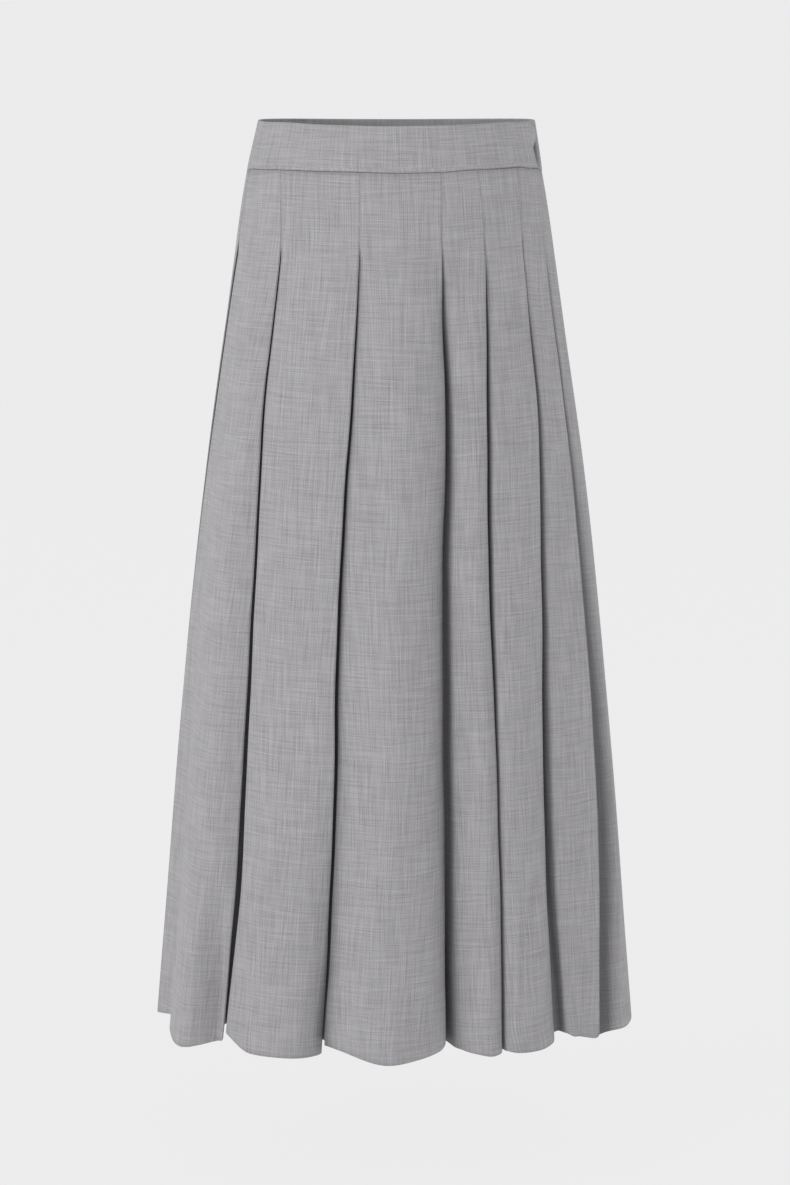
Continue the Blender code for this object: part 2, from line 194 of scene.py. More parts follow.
# Sine waves in the cloth: metres to the radian across and down, multiple of the phase, and share.
SLOW_WAVES = ((0.021, 0.11, 1.0, 0.5), (0.034, -0.047, 2.3, 0.7), (0.013, 0.071, 3.1, 0.25))

# The wander of a fold down its length: metres to the radian, multiple of the phase, and share.
WANDERS = ((0.031, 1.0, 0.5), (0.017, 1.7, 0.3))

# Ripples round the band: how many, how far each turns from the seam to the top in radians, and share.
BAND_RIPPLES = ((9, 1.3, 0.5), (23, -2.1, 0.22))

# Heights where the skirt's outer ring is given, with its half width and its depths to front and back, in mm.
RING_COLUMNS = ("height", "half_width", "front", "back")
RINGS = (
    (25, 132.0, 83.0, 82.0),
    (-22, 143.0, 88.5, 87.0),
    (-90, 154.0, 98.0, 101.0),
    (-180, 167.5, 109.0, 118.0),
    (-300, 185.0, 120.0, 131.0),
    (-450, 203.6, 131.0, 141.0),
    (-600, 218.5, 141.0, 148.0),
    (-750, 231.7, 151.0, 154.0),
    (-883, 243.5, 160.0, 160.0),
)

# Heights of the fold angles, in mm: band seam, end of the stitching, hip, thigh, knee and hem.
FOLD_HEIGHTS = (-22, -90, -220, -420, -650, -883)

# One row for each fold and the panel before it: the fold's angle at each of those heights, then how far the
# panel lies inside the ring at the hem, in mm: where it starts, at its rise, middle and shoulder, and at the
# fold.
FOLD_COLUMNS = (
    "seam", "release", "hip", "thigh", "knee", "hem", "start", "rise", "middle", "shoulder", "edge")
FOLDS = (
    (41.0, 45.0, 43.5, 45.3, 45.4, 41.6, 0, 14, 1, -12, 10),
    (77.0, 77.5, 76.3, 74.1, 73.8, 71.5, 12, 8, 3, 3, 5),
    (108.0, 107.0, 107.3, 105.2, 104.6, 103.2, 15, 9, 1, 13, 27),
    (124.0, 124.0, 121.4, 118.3, 118.5, 117.6, 34, 27, 16, 8, 9),
    (145.0, 143.5, 143.6, 138.5, 135.2, 136.8, 15, 8, 8, 11, 14),
    (166.5, 160.5, 160.0, 158.4, 156.4, 148.5, 17, 17, 17, 9, 1),
    (197.0, 193.0, 190.5, 187.5, 184.5, 181.5, 15, 12, 0, 0, 0),
    (226.0, 225.0, 222.5, 220.0, 217.5, 215.0, 21, 14, 1, 4, 6),
    (256.0, 255.0, 252.5, 250.0, 247.5, 246.0, 26, 17, 2, 10, 18),
    (285.0, 284.5, 283.0, 281.0, 279.5, 278.0, 28, 18, 1, 8, 16),
    (314.0, 313.0, 312.0, 310.0, 308.5, 307.5, 26, 16, 0, 5, 10),
    (343.0, 341.0, 340.0, 338.5, 337.0, 336.0, 23, 15, 2, 6, 11),
    (372.5, 369.5, 363.0, 361.0, 360.0, 359.5, 22, 14, 3, 3, 0),
)
PANEL_FRACTIONS = (0.0, 0.2, 0.5, 0.8, 1.0)

# One row for each fold: how wide the gap beside it stands open at each of the fold heights, how steep the
# gap's far side is, how far past it the shade painted into the pleat reaches at the hem, over what width
# that painted shade fades at the hip, knee and hem, how far the fold's own edge rolls inwards there and over
# what width, how far the hem is drawn up where the next panel starts and over what share of that panel, and
# the radius of the fold's rounded corner at the hem. All but the steepness and the share are in mm.
EDGE_COLUMNS = (
    "seam", "release", "hip", "thigh", "knee", "hem", "wall", "reach", "fade_hip", "fade_knee", "fade_hem",
    "roll_hip", "roll_knee", "roll_hem", "roll_run", "lift", "lift_share", "corner")
EDGES = (
    (0.0, 0.3, 1.4, 2.6, 5.2, 9.5, 6, 0, 0.8, 1.0, 3.0, 0.5, 1.0, 2.0, 6.0, 15.0, 0.4, 2),
    (0.0, 0.3, 1.5, 1.8, 2.8, 5.0, 5, 0, 0.3, 5.0, 8.0, 0.5, 4.5, 22.0, 15.0, 12.0, 0.6, 3),
    (0.0, 0.4, 4.0, 4.4, 4.2, 7.0, 3, 0, 2.0, 2.4, 7.0, 8.0, 21.0, 7.0, 11.0, 3.0, 0.4, 8),
    (0.0, 0.5, 2.8, 3.2, 1.4, 1.6, 5, 0, 1.6, 0.4, 0.6, 3.0, 7.0, 9.0, 10.0, 2.0, 0.4, 3),
    (0.0, 0.5, 3.4, 4.6, 4.4, 3.0, 4, 0, 1.4, 2.4, 1.5, 1.5, 7.0, 18.0, 13.0, 8.0, 0.5, 9),
    (0.0, 0.4, 2.8, 4.8, 6.0, 7.0, 3, 18, 1.8, 10.0, 6.0, 1.0, 2.0, 2.0, 6.0, -5.0, 0.5, 6),
    (0.0, 0.4, 2.5, 4.0, 5.0, 6.0, 5, 2, 1.5, 3.0, 4.0, 1.0, 1.5, 3.0, 6.0, 6.0, 0.5, 8),
    (0.0, 0.5, 3.0, 4.5, 4.0, 5.0, 4, 0, 2.0, 5.0, 6.0, 0.5, 1.0, 2.0, 6.0, 8.0, 0.4, 5),
    (0.0, 0.5, 4.0, 5.0, 5.0, 6.0, 3, 0, 4.0, 6.0, 8.0, 2.0, 7.0, 4.0, 8.0, 5.0, 0.5, 3),
    (0.0, 0.4, 2.0, 3.5, 3.0, 4.0, 5, 0, 1.5, 2.0, 3.0, 0.5, 0.8, 3.0, 6.0, 9.0, 0.4, 6),
    (0.0, 0.5, 3.5, 4.0, 4.5, 5.0, 4, 0, 2.5, 5.0, 7.0, 1.0, 3.0, 6.0, 7.0, 6.0, 0.6, 4),
    (0.0, 0.4, 2.5, 4.0, 4.0, 5.0, 6, 0, 1.5, 3.0, 4.0, 0.6, 1.5, 2.0, 6.0, 7.0, 0.5, 6),
    (0.0, 1.0, 2.6, 0.4, 0.0, 0.0, 4, 0, 0.8, 0.4, 0.4, 0.5, 0.5, 0.5, 5.0, 0.0, 0.4, 4),
)

# Heights of the painted shade's fade and of the roll sizes, in mm: hip, knee and hem.
ROLL_HEIGHTS = (-220, -600, -883)

# Columns of points across a panel close to its ends: shares of the gap at its start, then distances in mm.
GAP_SHARES = (0.0, 0.4, 0.65, 0.8, 0.9, 1.0, 1.1, 1.2, 1.35, 1.6)
START_DISTANCES = (1.5, 3.5, 6.0, 9.5)
END_DISTANCES = (11.0, 8.0, 5.5, 3.6, 2.2, 1.2, 0.5)
FRONT_PANELS = range(0, 6)
BACK_PANELS = range(6, 13)

# Soft creases: the panel, how far across it the crease starts and ends, its top and bottom height, its half
# width and its depth, all in mm but for the two shares. A depth below zero is a ridge.
CREASE_COLUMNS = ("panel", "from_share", "to_share", "top", "bottom", "half_width", "depth")
CREASES = (
    (0, 0.885, 0.945, -670, -1030, 9, 19.0),
    (0, 0.93, 0.93, -180, -330, 6, -0.8),
    (1, 0.08, 0.30, -130, -420, 14, -0.8),
    (1, 0.72, 0.66, -240, -700, 16, 0.7),
    (1, 0.36, 0.30, -560, -900, 18, -1.2),
    (2, 0.30, 0.34, -160, -520, 18, 0.7),
    (2, 0.80, 0.78, -330, -820, 12, -0.9),
    (2, 0.66, 0.42, -640, -900, 11, 2.2),
    (3, 0.50, 0.48, -78, -160, 9, 4.0),
    (3, 0.40, 0.50, -230, -640, 9, -0.9),
    (4, 0.20, 0.34, -100, -260, 10, 0.9),
    (4, 0.94, 0.94, -66, -128, 8, 1.6),
    (4, 0.52, 0.44, -420, -800, 10, -1.0),
    (4, 0.80, 0.72, -780, -930, 9, 1.2),
    (5, 0.18, 0.30, -90, -200, 9, 1.2),
    (5, 0.62, 0.55, -450, -800, 8, -2.2),
    (6, 0.30, 0.36, -220, -640, 14, 1.0),
    (6, 0.55, 0.62, -560, -900, 16, -1.4),
    (7, 0.62, 0.55, -130, -380, 16, 0.9),
    (7, 0.35, 0.42, -480, -900, 20, 1.4),
    (8, 0.25, 0.34, -120, -330, 14, -0.8),
    (8, 0.68, 0.58, -420, -850, 18, -1.2),
    (9, 0.50, 0.44, -200, -600, 18, 0.9),
    (9, 0.30, 0.24, -640, -920, 16, 1.6),
    (10, 0.72, 0.66, -160, -500, 14, -0.9),
    (10, 0.42, 0.52, -520, -900, 20, 1.3),
    (11, 0.24, 0.30, -110, -300, 12, 1.0),
    (11, 0.60, 0.52, -380, -860, 18, -1.3),
    (12, 0.40, 0.46, -180, -540, 16, 0.9),
    (12, 0.70, 0.62, -600, -920, 14, 1.5),
)

# How far the band's seam hangs below its level, in mm, by angle. A drop below zero is a rise.
SEAM_ANGLES = (0, 6, 12, 27, 43, 62, 80, 92, 108, 120, 138, 147, 154, 162, 168, 173, 178, 188, 215, 348, 360)
SEAM_DROPS = (
    0.3, 0.0, -1.6, -2.5, -3.4, -3.2, -2.8, -2.2, -2.9, -4.3, -4.9, -5.4, -3.6, -2.8, -2.2, 0.2, 1.6, 1.8,
    0.0, 0.0, 0.3)


class SkirtSizes(bpy.types.PropertyGroup):
    """Sizes of the skirt's looks."""

    cloth: bpy.props.FloatProperty(
        name="Cloth", description="Thickness of the wool cloth", default=0.0005, min=0.0003, max=0.002,
        unit="LENGTH", precision=5)
    layer: bpy.props.FloatProperty(
        name="Layer", description="Distance between the middles of two pressed layers", default=0.0012,
        min=0.0003, max=0.002, unit="LENGTH", precision=5)
    face_step: bpy.props.FloatProperty(
        name="Face step", description="Distance between columns of points across a panel at the hem",
        default=0.0062, min=0.002, max=0.02, unit="LENGTH", precision=4)
    row_step: bpy.props.FloatProperty(
        name="Row step", description="Distance between rows of points down the skirt", default=0.008,
        min=0.003, max=0.03, unit="LENGTH", precision=4)
    undulation: bpy.props.FloatProperty(
        name="Undulation", description="Height of the slow waves in the cloth", default=0.0004,
        min=0.0, max=0.003, unit="LENGTH", precision=5)
    fold_wander: bpy.props.FloatProperty(
        name="Fold wander", description="How far a pressed fold strays to the side", default=0.0006,
        min=0.0, max=0.003, unit="LENGTH", precision=5)


class SkirtColours(bpy.types.PropertyGroup):
    """Colours of the skirt and its stage."""

    dark_yarn: bpy.props.FloatVectorProperty(
        name="Dark yarn", description="The darker yarn of the wool", default=(0.246, 0.239, 0.250),
        subtype="COLOR", size=3, min=0.0, max=1.0)
    light_yarn: bpy.props.FloatVectorProperty(
        name="Light yarn", description="The lighter yarn of the wool", default=(0.520, 0.508, 0.524),
        subtype="COLOR", size=3, min=0.0, max=1.0)
    tape: bpy.props.FloatVectorProperty(
        name="Zip tape", description="The zip's tape and teeth", default=(0.16, 0.155, 0.165),
        subtype="COLOR", size=3, min=0.0, max=1.0)
    metal: bpy.props.FloatVectorProperty(
        name="Metal", description="The slider, hook and bar", default=(0.42, 0.42, 0.43),
        subtype="COLOR", size=3, min=0.0, max=1.0)
    backdrop: bpy.props.FloatVectorProperty(
        name="Backdrop", description="The pale floor and what is behind it", default=(0.837, 0.837, 0.837),
        subtype="COLOR", size=3, min=0.0, max=1.0)


def sizes():
    return bpy.context.scene.skirt_sizes


def colours():
    return bpy.context.scene.skirt_colours


# Curves and rings

def smooth(x, known_x, known_y):
    """A cubic curve through the known values, with each slope held to what its two neighbours allow."""
    known_x = np.asarray(known_x, float)
    known_y = np.asarray(known_y, float)
    steps = np.diff(known_x)
    rises = np.diff(known_y) / steps
    slopes = np.concatenate([rises[:1], (rises[:-1] + rises[1:]) / 2, rises[-1:]])
    turning = rises[:-1] * rises[1:] <= 0
    slopes[1:-1][turning] = 0.0
    x = np.clip(x, known_x[0], known_x[-1])
    index = np.clip(np.searchsorted(known_x, x, side="right") - 1, 0, len(steps) - 1)
    t = (x - known_x[index]) / steps[index]
    step = steps[index]
    from_start = known_y[index] * (1 + 2 * t) * (1 - t) ** 2 + slopes[index] * step * t * (1 - t) ** 2
    from_end = known_y[index + 1] * (3 - 2 * t) * t**2 - slopes[index + 1] * step * t**2 * (1 - t)
    return from_start + from_end


def ease(x):
    """0 below 0, 1 above 1, and an S-shaped curve between: 3x^2 - 2x^3."""
    x = np.clip(x, 0.0, 1.0)
    return x * x * (3 - 2 * x)


def unit(vectors):
    return vectors / np.linalg.norm(vectors, axis=-1, keepdims=True)


def by_height(heights, values, z):
    """A curve at each height z, through values at falling heights in mm."""
    return smooth(-z, [-height * MM for height in heights], values)


def ring_size(column, z):
    """The named size of the outer ring at each height."""
    values = [row[RING_COLUMNS.index(column)] * MM for row in RINGS]
    return by_height([row[0] for row in RINGS], values, z)


def ring_depth(in_front, z):
    return np.where(in_front, ring_size("front", z), ring_size("back", z))


def on_ring(angle, inset, z):
    """Points at these angles (radians) on the ring's ellipse, moved in along its normal."""
    half_width = ring_size("half_width", z)
    depth = ring_depth(np.sin(angle) > 0, z)
    x = -half_width * np.cos(angle)
    y = -depth * np.sin(angle)
    normal_x = x / half_width**2
    normal_y = y / depth**2
    length = np.hypot(normal_x, normal_y)
    return np.stack([x - inset * normal_x / length, y - inset * normal_y / length, z + 0 * x], axis=-1)


def ring_angle(points):
    """The angle round the ring on which each point lies, as on_ring takes it."""
    x, y, z = points[..., 0], points[..., 1], points[..., 2]
    return np.arctan2(-y / ring_depth(y < 0, z), -x / ring_size("half_width", z))


def arc_per_radian(angle, z):
    half_width = ring_size("half_width", z)
    depth = ring_depth(np.sin(angle) > 0, z)
    return np.hypot(half_width * np.sin(angle), depth * np.cos(angle))


def growth(z):
    """How far the pleats have opened: 0 down to the end of the stitching, 1 at the hem."""
    share = np.clip((RELEASE - z) / (RELEASE - HEM), 0.0, 1.0)
    return share**OPENING_POWER


def stitched(z):
    """1 where the pleats are sewn shut, 0 from just below the end of the stitching."""
    return ease((z - RELEASE) / STITCH_END + 1.0)


# Pleats

def fold_angle(fold, z):
    """The fold's angle at each height, with a slow wander; the fold before the first is the last one."""
    degrees = by_height(FOLD_HEIGHTS, FOLDS[fold][: len(FOLD_HEIGHTS)], z)
    turn_back = 360.0 if fold < 0 else 0.0
    angle = np.radians(degrees - turn_back)
    phase = WANDER_PHASE * (fold % len(FOLDS))
    wander = sum(np.sin(z / length + factor * phase) * share for length, factor, share in WANDERS)
    wander = wander * ease((RELEASE - z) / WAVE_FADE)
    return angle + wander * sizes().fold_wander / arc_per_radian(angle, z)


def panel_width(panel, z):
    left, right = fold_angle(panel - 1, z), fold_angle(panel, z)
    return arc_per_radian((left + right) / 2, z) * (right - left)


def crease_depth(panel, fraction, z):
    """Troughs and ridges: a bell across each crease's line, times a hump along it."""
    width = panel_width(panel, z)
    total = 0.0 * fraction * z
    for row in CREASES:
        crease = dict(zip(CREASE_COLUMNS, row))
        if crease["panel"] != panel:
            continue
        along = (crease["top"] * MM - z) / ((crease["top"] - crease["bottom"]) * MM)
        line = crease["from_share"] + (crease["to_share"] - crease["from_share"]) * along
        hump = np.sin(math.pi * np.clip(along, 0.0, 1.0)) ** 2
        across = (fraction - line) * width / (crease["half_width"] * MM)
        total = total + crease["depth"] * MM * hump * np.exp(-across * across)
    return total


def slow_waves(panel, fraction, z):
    """Three crossing sine waves of unlike lengths, faded out at the band and towards each fold."""
    phase = WAVE_PHASE * panel + WAVE_PHASE_START
    across = fraction * panel_width(panel, z)
    waves = 0.0
    for length_across, length_down, factor, share in SLOW_WAVES:
        waves = waves + np.sin(across / length_across + z / length_down + factor * phase) * share
    inside = ease(fraction / WAVE_START_SHARE) * ease((1 - fraction) / WAVE_END_SHARE)
    return waves * inside * sizes().undulation * ease((SKIRT_TOP - z) / WAVE_FADE)


def edge_size(fold, column):
    return EDGES[fold][EDGE_COLUMNS.index(column)] * MM


def gap_width(panel, z):
    """How wide the gap beside the fold before this panel stands open."""
    widths = [value * MM for value in EDGES[panel - 1][: len(FOLD_HEIGHTS)]]
    return by_height(FOLD_HEIGHTS, widths, z) + LEAST_GAP


def gap_depth(panel, distance, z):
    """The gap before a panel: some times as deep as it is wide, times exp(-(distance / width)^wall)."""
    width = gap_width(panel, z)
    wall = EDGES[panel - 1][EDGE_COLUMNS.index("wall")]
    return np.minimum(GAP_STEEPNESS * width, GAP_DEEPEST) * np.exp(-((distance / width) ** wall))


def down_the_edge(fold, name, z):
    """A size of a fold's edge at each height, from its values at the hip, knee and hem."""
    values = [edge_size(fold, name + place) for place in ("_hip", "_knee", "_hem")]
    return by_height(ROLL_HEIGHTS, values, z)


def painted_shade(panel, distance, z):
    """How much shade is painted on the cloth at this distance from the panel's start, from 0 to 1."""
    width = gap_width(panel, z)
    reach = edge_size(panel - 1, "reach") * growth(z)
    past = np.maximum(distance - GAP_SHADED_SHARE * width - reach, 0.0)
    fade = down_the_edge(panel - 1, "fade", z) * ease((RELEASE - z) / SHADE_RUN) + LEAST_FADE
    return np.exp(-((past / fade) ** SHADE_POWER)) * ease(width / SHADED_WIDTH)


def edge_roll(panel, distance, z):
    """How far the cloth rolls inwards at this distance from its own fold."""
    opening = ease((RELEASE - z) / ROLL_OPENING)
    return down_the_edge(panel, "roll", z) * opening * np.exp(-distance / edge_size(panel, "roll_run"))


def on_panel(panel, fraction, z):
    """Points of a panel's outer face, from where it comes out of the last fold (0) to its own fold (1)."""
    before = fold_angle(panel - 1, z)
    left = before - START_OVERLAP * sizes().layer * stitched(z) / arc_per_radian(before, z)
    width = panel_width(panel, z)
    distance = fraction * width
    angle = left + (fold_angle(panel, z) - left) * fraction
    insets = [value * MM for value in FOLDS[panel][FOLD_COLUMNS.index("start") :]]
    relief = growth(z) * smooth(fraction, PANEL_FRACTIONS, insets)
    tuck = 2 * sizes().layer * (1 - growth(z)) * np.exp(-distance / TUCK_RUN)
    tuck = tuck * (1 - (1 - TUCK_STITCHED) * stitched(z))
    inset = relief + tuck + edge_roll(panel, width - distance, z) + gap_depth(panel, distance, z)
    inset = inset + crease_depth(panel, fraction, z) + slow_waves(panel, fraction, z)
    points = on_ring(angle, inset, z)
    lift_share = EDGES[panel - 1][EDGE_COLUMNS.index("lift_share")]
    drawn_up = edge_size(panel - 1, "lift") * (1 - ease(fraction / lift_share))
    points[..., 2] += HEM_TILT * growth(z) * np.minimum(relief, TILTED_INSET)
    points[..., 2] += drawn_up * ease((HEM + LIFT_RUN - z) / LIFT_RUN)
    return points


def directions(panel, fraction, z):
    """The panel's along and inward directions in plan, as unit vectors."""
    step = 0.01
    along = on_panel(panel, np.minimum(fraction + step, 1.0), z)
    along = along - on_panel(panel, np.maximum(fraction - step, 0.0), z)
    along[..., 2] = 0.0
    along = unit(along)
    return along, np.stack([-along[..., 1], along[..., 0], along[..., 2]], axis=-1)


def lap_share(panel, z):
    """The part of a panel's width that is doubled behind its fold."""
    lap = LAP_TOP + (LAP_HEM - LAP_TOP) * growth(z)
    return np.minimum(lap / panel_width(panel, z), LAP_MOST_SHARE)


def behind_panel(panel, t, depth, z, back=0.0):
    """Points behind a panel's lap, from its fold (t = 0) to the inner fold (t = 1), set in by depth."""
    fraction = np.minimum(1.0 - lap_share(panel, z) * t + back / panel_width(panel, z), 1.0)
    _, inwards = directions(panel, fraction, z)
    return on_panel(panel, fraction, z) + inwards * (depth + 0.0 * fraction)[..., None]


def under_depth(t, z):
    """Depth of the cloth that runs back from the fold."""
    return sizes().layer + growth(z) * LAP_SPREAD * t


def corner_lift(fold, distance, z):
    """The rounded corner at the hem: a quarter circle by the distance from the fold, eased out upwards."""
    radius = edge_size(fold, "corner")
    inside = np.clip(1 - distance / radius, 0.0, 1.0)
    lift = radius * (1 - np.sqrt(1 - inside**2))
    return lift * ease((HEM + CORNER_RISE - z) / CORNER_RISE)


def half_turn(centre, radius, outwards, along, angles):
    """Points on a turn of the cloth: centre + radius * (outwards * cos + along * sin)."""
    angles = np.asarray(angles)[None, :, None]
    return centre + radius * (outwards * np.cos(angles) + along * np.sin(angles))


def face(panel, z):
    """The outer face of a panel, from the last fold to its own, with its columns closer near both folds.

    Its painted shade is that of the pleat beside it, and on its rolled edge more shade is painted the further
    the edge rolls in.
    """
    width = panel_width(panel, z)
    in_gap = np.array(GAP_SHARES)[None, :] * gap_width(panel, z)
    past_gap = in_gap[:, -1:] + np.array(START_DISTANCES)[None, :] * MM
    near_end = width - np.array(END_DISTANCES)[None, :] * MM
    count = max(4, round(float(width[-1, 0]) / sizes().face_step))
    share = np.linspace(0.0, 1.0, count + 2)[None, 1:-1]
    middle = past_gap[:, -1:] + (near_end[:, :1] - past_gap[:, -1:]) * share
    distance = np.concatenate([in_gap, past_gap, middle, near_end], axis=1)
    points = on_panel(panel, distance / width, z)
    points[..., 2] += corner_lift(panel, width - distance, z)
    # Painted shade: the pleat's shade beside the gap, plus more painted on the rolled edge the deeper it
    # rolls.
    shade = painted_shade(panel, distance, z) + ROLL_SHADE * edge_roll(panel, width - distance, z)
    return points, np.minimum(shade, 1.0)


def outer_turn(panel, z):
    """The pressed fold: half a circle from the face round to the cloth behind it."""
    radius = sizes().layer / 2
    ones = np.ones((1, 1))
    along, inwards = directions(panel, ones, z)
    centre = behind_panel(panel, 0.0 * ones, radius, z, back=-radius)
    points = half_turn(centre, radius, -inwards, along, np.linspace(0.0, math.pi, 7))
    points[..., 2] += corner_lift(panel, 0.0 * z, z)
    return points


def lap(panel, z):
    """The cloth that runs back behind the fold."""
    t = np.array(LAP_SHARES)[None, :]
    points = behind_panel(panel, t, under_depth(t, z), z, back=sizes().layer / 2)
    points[..., 2] += corner_lift(panel, t * lap_share(panel, z) * panel_width(panel, z), z)
    return points


def inner_turn(panel, z, angles):
    """The fold behind: half a circle from the lap to the cloth that comes forward again."""
    ones = np.ones((1, 1))
    radius = sizes().layer / 2
    fraction = 1.0 - lap_share(panel, z)
    along, inwards = directions(panel, fraction, z)
    centre = behind_panel(panel, ones, under_depth(1.0, z) + radius, z, back=radius)
    return half_turn(centre, radius, -inwards, -along, angles)


def way_out(panel, z):
    """The cloth from the inner fold to the next panel's start, as a cubic Bezier curve with level handles."""
    following = (panel + 1) % len(FOLDS)
    ones = np.ones((1, 1))
    inner_depth = under_depth(1.0, z) + sizes().layer
    first = behind_panel(panel, ones, inner_depth, z, back=sizes().layer / 2)
    ahead = behind_panel(panel, LAP_NEAR_TURN * ones, inner_depth, z, back=sizes().layer / 2)
    last = on_panel(following, 0.0 * ones, z)
    after = on_panel(following, FACE_NEAR_START * ones, z)
    reach = np.linalg.norm(last - first, axis=-1, keepdims=True) / 3
    leave = first + unit(ahead - first) * reach
    arrive = last - unit(after - last) * np.minimum(reach, TURN_HANDLE)
    t = np.array(WAY_OUT_SHARES)[None, :, None]
    s = 1 - t
    return s**3 * first + 3 * t * s**2 * leave + 3 * t**2 * s * arrive + t**3 * last


def seam_drop(angle):
    """How far the band's seam hangs below its level at these angles (radians)."""
    degrees = np.degrees(angle) % 360
    return smooth(degrees, SEAM_ANGLES, SEAM_DROPS) * MM


def skirt_grid(panels):
    """Rows and columns of points over one cut half of the skirt, each column's panel, and each point's
    painted shade.

    Each column is a function of the height. The columns follow the cloth from the seam in the pleat before
    the first panel, over every face, turn and lap, to the seam in the last pleat.
    """
    rows = round((SKIRT_TOP - HEM) / sizes().row_step)
    z = np.linspace(SKIRT_TOP, HEM, rows + 1)[:, None]
    first, last = panels[0], panels[-1]
    whole_turn = np.linspace(0.0, math.pi, 6)[1:]
    to_seam = np.radians([38.0, 74.0])
    from_seam = np.radians([106.0, 142.0, 180.0])
    # Shade painted on the cloth inside the pleats, coming in below the stitching: on each fold's turn, on the
    # lap  fading away from the fold, and on the way out growing towards the next panel; none on the inner
    # turns.
    opened = ease((RELEASE - z) / SHADE_RUN)
    lap_shade = opened * (1 - np.array(LAP_SHARES)[None, :])
    way_shade = opened * np.array(WAY_OUT_SHARES)[None, :]
    lit = 0.0 * z
    stretches = [(inner_turn(first - 1, z, from_seam), first, lit)]
    stretches.append((way_out(first - 1, z), first, way_shade))
    for panel in panels:
        points, shade = face(panel, z)
        stretches.append((points, panel, shade))
        stretches.append((outer_turn(panel, z), panel, TURN_SHADE * opened))
        stretches.append((lap(panel, z), panel, lap_shade))
        if panel != last:
            stretches.append((inner_turn(panel, z, whole_turn), panel, lit))
            stretches.append((way_out(panel, z), panel + 1, way_shade))
        else:
            stretches.append((inner_turn(panel, z, to_seam), panel, lit))
    points = np.concatenate([part for part, _, _ in stretches], axis=1)
    owner = np.concatenate([np.full(part.shape[1], panel) for part, panel, _ in stretches])
    shade = np.concatenate([np.broadcast_to(value, part.shape[:2]) for part, _, value in stretches], axis=1)
    up_to_seam = ease((points[..., 2] - RELEASE) / (SKIRT_TOP - RELEASE))
    points[..., 2] -= seam_drop(ring_angle(points)) * up_to_seam
    return points, owner, shade


# Meshes

def grid_faces(rows, count, closed):
    """Corner indexes of the quads between neighbouring rows and columns."""
    quads = count if closed else count - 1
    row, column = np.meshgrid(np.arange(rows - 1), np.arange(quads), indexing="ij")
    ahead = (column + 1) % count
    here = row * count
    below = (row + 1) * count
    corners = (here + column, below + column, below + ahead, here + ahead)
    return np.stack(corners, axis=-1).reshape(-1, 4)


def new_piece(name, points, faces, uv, material):
    """A mesh object from arrays: points (n, 3), faces (m, 4) and a UV pair in metres for each corner."""
    mesh = bpy.data.meshes.new(name)
    mesh.vertices.add(len(points))
    mesh.vertices.foreach_set("co", points.astype(np.float32).ravel())
    mesh.loops.add(faces.size)
    mesh.loops.foreach_set("vertex_index", faces.astype(np.int32).ravel())
    mesh.polygons.add(len(faces))
    mesh.polygons.foreach_set("loop_start", np.arange(0, faces.size, faces.shape[1], dtype=np.int32))
    mesh.update(calc_edges=True)
    mesh.validate()
    layer = mesh.uv_layers.new(name="cloth")
    layer.data.foreach_set("uv", uv.astype(np.float32).ravel())
    mesh.shade_smooth()
    mesh.materials.append(material)
    piece = bpy.data.objects.new(name, mesh)
    bpy.context.scene.collection.objects.link(piece)
    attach(piece, BODY)
    return piece


def write_shade(piece, shade):
    """Keeps how much shade is painted at each point as the attribute that the cloth's finish reads."""
    written = piece.data.attributes.new("painted_shade", "FLOAT", "POINT")
    written.data.foreach_set("value", shade.astype(np.float32).ravel())


def along_path(steps):
    """The length run along the first axis up to each point, from the steps between the points."""
    return np.concatenate([np.zeros((1, *steps.shape[1:])), np.cumsum(steps, axis=0)], axis=0)


def cloth_uv(points, owner, faces):
    """Flat cloth coordinates in metres: the way across from the panel's middle line, and the way down.

    The way across adds up the steps between columns in each row, less its value at the middle of the panel's
    face, so the warp runs parallel to that line. Each panel has its own place on the map.
    """
    count = points.shape[1]
    across = along_path(np.linalg.norm(np.diff(points, axis=1), axis=-1).T).T
    down = along_path(np.linalg.norm(np.diff(points, axis=0), axis=-1))
    row, column = faces // count, faces % count
    face_owner = owner[column[:, :1]]
    middles = np.zeros((len(points), int(owner.max()) + 1))
    for panel in np.unique(owner):
        own = np.flatnonzero(owner == panel)
        middles[:, panel] = across[:, own].mean(axis=1)
    u = across[row, column] - middles[row, face_owner] + MAP_STEP_ACROSS * face_owner
    v = -down[row, column] + MAP_STEP_DOWN * face_owner
    return np.stack([u, v], axis=-1)


def solidify(piece, thickness):
    wall = piece.modifiers.new("wall", "SOLIDIFY")
    wall.thickness = thickness
    wall.offset = 0.0


def cloth_piece(name, panels, node):
    """One cut half of the skirt as a thin pleated shell, put in place of its CAD part."""
    points, owner, shade = skirt_grid(panels)
    faces = grid_faces(points.shape[0], points.shape[1], closed=False)
    uv = cloth_uv(points, owner, faces)
    piece = new_piece(name, points.reshape(-1, 3), faces, uv, wool())
    write_shade(piece, shade)
    solidify(piece, sizes().cloth)
    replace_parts(piece, node)
    return piece


# Waistband

def front_end(degrees, height):
    """How far the front half's end turns on, in degrees, and stands out: both grow towards its top corner."""
    near = np.clip((degrees - BAND_LAP_ANGLE) / BAND_END_RUN + 1, 0, 1) ** 2
    upper = ease((height - BAND_END_FROM) / BAND_END_OVER)
    return BAND_END_TURN * near * upper, BAND_END_CURL * near * upper


def back_side(degrees, height):
    """The back half stands out beside the closure, the more the higher up, and doesn't turn."""
    begun = ease((degrees - BAND_LAP_ANGLE) / BAND_STEP_DEGREES - 1)
    side = begun * (1 - ease((degrees - BAND_SIDE_END) / BAND_SIDE_FADE))
    return 0.0 * side, BAND_SIDE_LEAN * side * height


